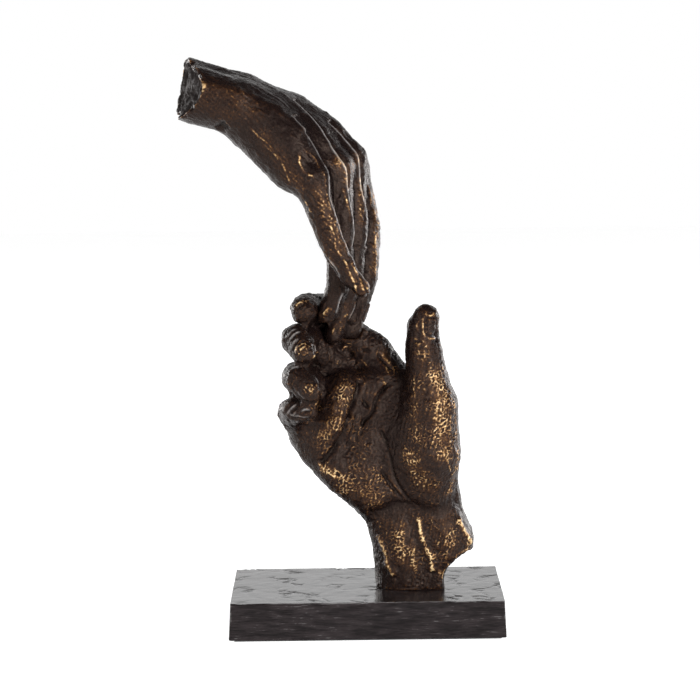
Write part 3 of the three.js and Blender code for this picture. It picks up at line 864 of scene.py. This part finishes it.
# What each cause adds to the gold, and the sums at which each colour starts and is full
SHARP_GOLD = 0.7
BROAD_GOLD = 0.12
BRUSHED_GOLD = 0.85
BREAK_GOLD = -0.6
PATCH_GOLD = (-1.05, -0.55)  # in the thinnest and the thickest patches
PIT_GOLD = 0.65  # less by this in a pit, and more by this between pits
SPECK_GOLD = 0.4  # likewise for specks
BROWN_SUMS = (-0.7, 0.4)
AMBER_SUMS = (-0.05, 0.4)
GOLD_SUMS = (0.15, 0.65)

HIGHLIGHT_PITS = (0.25, 0.6)  # pitting at which a painted highlight line is gone, and at which it is whole
PAINTED_SHADE_WEAR = (-0.25, -0.8)  # broad wear at which the painted shade of a hollow starts, and at which it is darkest
PAINTED_SHADE_SHARES = (1.0, 0.3)  # how much of that painted shade shows on the skin, and in a raw break
AMBER_METAL = 0.4  # how metallic amber and gold are
PATINA_ROUGHNESS = (0.34, 0.20)  # in pits, and between them
BREAK_ROUGHNESS = 0.4  # what a raw break adds to it


def bronze_material():
    """Near-black patina, brown where it is rubbed, with gold brushed dry over what stands out, pale painted
    highlights along edges and wrinkles, and painted shade in the hollows.
    """
    finish = Finish("antique_bronze")
    sharp, broad, gilt = (finish.attribute(name) for name in ("sharp_wear", "broad_wear", "gilt"))
    raw, pale = finish.attribute("raw"), finish.attribute("pale")
    pitted = finish.noise(size=1.2, detail=5, rough=0.65)
    specks = finish.noise(size=0.55, detail=3, rough=0.6)
    patches = finish.noise(size=6)
    raised = finish.math("MULTIPLY_ADD", sharp, SHARP_GOLD, finish.math("MULTIPLY", broad, BROAD_GOLD))
    brushed = finish.math("MULTIPLY_ADD", gilt, BRUSHED_GOLD, finish.scale(patches, *PATCH_GOLD))
    rubbed = finish.math("MULTIPLY_ADD", raw, BREAK_GOLD, finish.math("ADD", raised, brushed))
    pits = finish.scale(pitted, -PIT_GOLD, PIT_GOLD)
    broken = finish.math("ADD", pits, finish.scale(specks, -SPECK_GOLD, SPECK_GOLD))
    value = finish.math("ADD", rubbed, broken)
    brown = finish.ramp(value, *BROWN_SUMS)
    amber = finish.ramp(value, *AMBER_SUMS)
    gold = finish.ramp(value, *GOLD_SUMS)
    patina = finish.mix(raw, finish.mix(brown, DARK_BRONZE, BROWN_BRONZE), RAW_BREAK)
    gilding = finish.mix(gold, finish.mix(amber, patina, AMBER), GOLD)
    # Painted highlight: pale lines along edges and wrinkles, broken up by the pits
    painted_highlight_share = finish.math("MULTIPLY", pale, finish.ramp(pitted, *HIGHLIGHT_PITS))
    # Painted shade: near black in the hollows, less so in a raw break
    hollow = finish.math("MULTIPLY", finish.ramp(broad, *PAINTED_SHADE_WEAR), finish.scale(raw, *PAINTED_SHADE_SHARES))
    coloured = finish.mix(hollow, gilding, PAINTED_SHADE)
    roughness = finish.scale(pitted, *PATINA_ROUGHNESS)
    return finish.set(
        Base_Color=finish.mix(painted_highlight_share, coloured, PAINTED_HIGHLIGHT),
        Metallic=finish.scale(amber, 0.0, AMBER_METAL),
        Roughness=finish.math("MULTIPLY_ADD", raw, BREAK_ROUGHNESS, roughness),
        Specular_IOR_Level=0.2,
        Specular_Tint=WARM_SHEEN,
        Normal=finish.bump(broken, depth=0.22),
    )


SLATE = (0.008, 0.0060, 0.0062, 1)
SLATE_PALE = (0.036, 0.0285, 0.0295, 1)
SLATE_SCRATCH = (0.17, 0.16, 0.16, 1)
SLATE_EDGE = (0.30, 0.29, 0.29, 1)
FINE_SHARE, STROKE_SHARE = 0.4, 0.6  # what fine noise and strokes add to the mottling

# Ranges from none of a mark to all of it
MOTTLING = (0.35, 0.65)
SCRATCH_LINES = (0.63, 0.70)  # in fine noise
SCRATCH_PATCHES = (0.45, 0.6)  # in strokes
PALE_EDGE_SHARPNESS = (0.4, 1.0)  # in sharp wear
EDGE_PATCHES = (0.4, 0.6)  # in strokes
EDGE_HEIGHTS = (0.010, 0.020)  # in metres over the floor, since the lower edges stay dark


def slate_material(name, mirror, smoothest, roughest):
    """Black slate. Mirror is the index of refraction: the glossy top mirrors more than the sides."""
    finish = Finish(name)
    strokes = finish.noise(size=3, detail=5, rough=0.6, stretch=(6, 2, 1))
    fine = finish.noise(size=0.6, detail=3, rough=0.6, stretch=(12, 3, 1))
    both = finish.math("MULTIPLY_ADD", fine, FINE_SHARE, finish.math("MULTIPLY", strokes, STROKE_SHARE))
    mottled = finish.ramp(both, *MOTTLING)
    lines = finish.ramp(fine, *SCRATCH_LINES)
    scratched = finish.math("MULTIPLY", lines, finish.ramp(strokes, *SCRATCH_PATCHES))
    height = finish.add("ShaderNodeSeparateXYZ", {"Vector": finish.place}).outputs["Z"]
    # Paler on the sharp upper edges, in patches; the lower edges stay dark
    sharp = finish.ramp(finish.attribute("sharp_wear"), *PALE_EDGE_SHARPNESS)
    edges = finish.math("MULTIPLY", sharp, finish.ramp(height, *EDGE_HEIGHTS))
    pale_upper_edges = finish.math("MULTIPLY", edges, finish.ramp(strokes, *EDGE_PATCHES))
    stone = finish.mix(scratched, finish.mix(mottled, SLATE, SLATE_PALE), SLATE_SCRATCH)
    return finish.set(
        Base_Color=finish.mix(pale_upper_edges, stone, SLATE_EDGE),
        Roughness=finish.scale(strokes, smoothest, roughest),
        IOR=mirror,
        Normal=finish.bump(mottled, depth=0.05),
    )


FELT = (0.012, 0.012, 0.013, 1)
FELT_PALE = (0.030, 0.030, 0.032, 1)


def felt_material():
    """Black felt with short paler fibres."""
    finish = Finish("black_felt")
    fibres = finish.noise(size=0.6, detail=5, rough=0.7)
    return finish.set(
        Base_Color=finish.mix(fibres, FELT, FELT_PALE),
        Roughness=0.95,
        Sheen_Weight=0.4,
        Normal=finish.bump(fibres, depth=0.3),
    )


STEEL = (0.52, 0.53, 0.54, 1)
STEEL_DULL = (0.33, 0.33, 0.34, 1)


def steel_material():
    """Bare steel with the fine lines of the lathe."""
    finish = Finish("turned_steel")
    lines = finish.noise(size=0.5, detail=3, rough=0.5, stretch=(5, 5, 0.4))
    return finish.set(
        Base_Color=finish.mix(lines, STEEL_DULL, STEEL),
        Metallic=1.0,
        Roughness=finish.scale(lines, low=0.28, high=0.42),
        Normal=finish.bump(lines, depth=0.05),
    )


# Plinth

TOP_FACING = (0.5, 0.9)  # how far up the skin faces where the top begins, and where it is all top
CHIP_HEIGHT = 0.12  # relief of the hewn top
DENT_HEIGHT = 0.15
CREASE_DEPTH, CREASE_WIDTH = 0.45, 0.12  # the width is a share of a chip's size
WAVE_HEIGHT = 0.25  # relief of the sides
SAW_HEIGHT, SAW_LENGTH = 0.08, 4  # the length is in widths of a saw mark
SIDEWAYS = (1, 0, 0)


def sculpt_plinth():
    """The slab with a rough-hewn top, uneven edges and nearly flat sides."""
    clay = Clay("plinth", "plinth_slate", PLINTH_VOXEL, PLINTH_PASSES)
    top = smoothstep(*TOP_FACING, clay.normals[:, 2])
    chipped, gap = clay.cells(size=11, seed=31)
    struck = smoothstep(0, 0.3, clay.grain(size=15, seed=36))
    creases = struck * smoothstep(CREASE_WIDTH, 0, gap)
    hewn = CHIP_HEIGHT * chipped + DENT_HEIGHT * clay.grain(size=20, seed=32) - CREASE_DEPTH * creases
    sawn = clay.grain(size=3, seed=34, along=SIDEWAYS, length=SAW_LENGTH)
    wavy = WAVE_HEIGHT * clay.grain(size=25, seed=33) + SAW_HEIGHT * sawn
    below = clay.normals[:, 2] < -TOP_FACING[0]
    clay.push = np.where(below, 0, top * hewn + (1 - top) * wavy)
    clay.apply_push()
    return clay


# Stage and light

FLOOR_HALF = 3.0  # metres
FLOOR_DROP = 0.2  # how far the floor lies under the felt
FLOOR_COLOUR = (0.85, 0.85, 0.85, 1)
FLOOR_GLOW = 0.88  # what a look at the floor adds, so that it is white
ROOM_LIGHT = 0.09  # the room's brightness, apart from the white sheet behind the object
SHEET_SIDE = (0.45, 0.9)  # how far back a direction points where the sheet begins, and where it is white
SHEET_TOP = (0.75, 0.4)  # how far up it points where the sheet ends, and where it starts to darken
# Place and width in metres, and watts
LAMPS = {
    "key": ((0.9, -1.4, 0.6), 0.5, 26),
    "fill": ((-1.3, -1.2, 0.8), 0.6, 12),
    "back left": ((-1.3, 1.2, 0.35), 0.6, 14),
    "back right": ((1.3, 1.2, 0.35), 0.6, 14),
}


def seen(nodes, mirrored):
    """1 for a look from the camera or through glass, and the given share for a look in a mirror."""
    path = nodes.add("ShaderNodeLightPath").outputs
    direct = nodes.math("MAXIMUM", path["Is Camera Ray"], path["Is Transmission Ray"])
    return nodes.math("MAXIMUM", direct, nodes.math("MULTIPLY", path["Is Glossy Ray"], mirrored))


def make_floor():
    """A wide pale floor."""
    corners = [(-FLOOR_HALF, -FLOOR_HALF, 0), (FLOOR_HALF, -FLOOR_HALF, 0)]
    corners += [(FLOOR_HALF, FLOOR_HALF, 0), (-FLOOR_HALF, FLOOR_HALF, 0)]
    mesh = bpy.data.meshes.new("floor")
    mesh.from_pydata(corners, [], [(0, 1, 2, 3)])
    finish = Finish("white_floor")
    mesh.materials.append(
        finish.set(
            Base_Color=FLOOR_COLOUR,
            Roughness=0.9,
            Emission_Color=WHITE,
            Emission_Strength=finish.math("MULTIPLY", seen(finish, 1), FLOOR_GLOW),
        )
    )
    floor = bpy.data.objects.new("floor", mesh)
    floor.location.z = -FLOOR_DROP * MM
    bpy.context.scene.collection.objects.link(floor)


def make_studio():
    """White all round for the camera, with a dim even light.
    Gloss mirrors a white sheet behind the object."""
    world = bpy.data.worlds.new("studio")
    world.use_nodes = True
    nodes = Nodes(world.node_tree)
    place = nodes.add("ShaderNodeTexCoord").outputs["Generated"]
    toward = nodes.add("ShaderNodeSeparateXYZ", {"Vector": place}).outputs
    behind = nodes.ramp(toward["Y"], *SHEET_SIDE)
    sheet = nodes.math("MULTIPLY", behind, nodes.ramp(toward["Z"], *SHEET_TOP))
    background = world.node_tree.nodes["Background"]
    background.inputs["Color"].default_value = WHITE
    nodes.join(nodes.scale(seen(nodes, sheet), ROOM_LIGHT, 1), background.inputs["Strength"])
    bpy.context.scene.world = world


def soft_box(name, place, width, watts):
    """A round lamp, aimed at the middle of the object."""
    data = bpy.data.lights.new(name, "AREA")
    data.shape = "DISK"
    data.size = width
    data.energy = watts
    lamp = bpy.data.objects.new(name, data)
    middle = (cad_low + cad_high) / 2
    lamp.location = place
    lamp.rotation_euler = (middle - lamp.location).to_track_quat("-Z", "Y").to_euler()
    bpy.context.scene.collection.objects.link(lamp)


# Putting it together

STEEL_NODES = [
    "fixing_stud", "stud_washer", "stud_nut", "locating_pin", "grip_dowel_index", "grip_dowel_middle",
]


def show(clay, material):
    """Shows a sculpted skin in place of its CAD node."""
    clay.mesh.materials.append(material)
    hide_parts(clay.node)
    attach(clay.piece, "root")


def dress(nodes, material):
    """Gives CAD nodes that are shown as they are a material."""
    for node in nodes:
        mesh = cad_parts[node].data
        mesh.materials.clear()
        mesh.materials.append(material)


make_camera()
make_floor()
make_studio()
for name, (place, width, watts) in LAMPS.items():
    soft_box(name, place, width, watts)

upper, lower = sculpt_upper_hand(), sculpt_lower_hand()
roughen(upper, seed=1, lay=(0.75, 0, -0.66), dabs=0.12, ridges=0.12, streaks=0.22)
roughen(lower, seed=5, lay=(0.2, 0, 1), dabs=0.25, ridges=0.4, streaks=0.22)
upper.keep_clear(lower, room=3)
lower.keep_clear(upper, room=3)
lower.stand_on(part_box("plinth")[1].z / MM)
bronze = bronze_material()
for hand in (upper, lower):
    hand.apply_push()
    hand.record_wear(sharp=0.2, broad=1.2)
    show(hand, bronze)

plinth = sculpt_plinth()
plinth.record_wear(sharp=0.25, broad=1.0)
show(plinth, slate_material("black_slate", mirror=1.2, smoothest=0.14, roughest=0.30))
plinth.mesh.materials.append(slate_material("black_slate_top", mirror=2.2, smoothest=0.12, roughest=0.24))
on_top = [face.normal.z > TOP_FACING[0] for face in plinth.mesh.polygons]
plinth.mesh.polygons.foreach_set("material_index", on_top)
dress(["base_felt"], felt_material())
dress(STEEL_NODES, steel_material())

bpy.context.scene.view_settings.view_transform = "Standard"
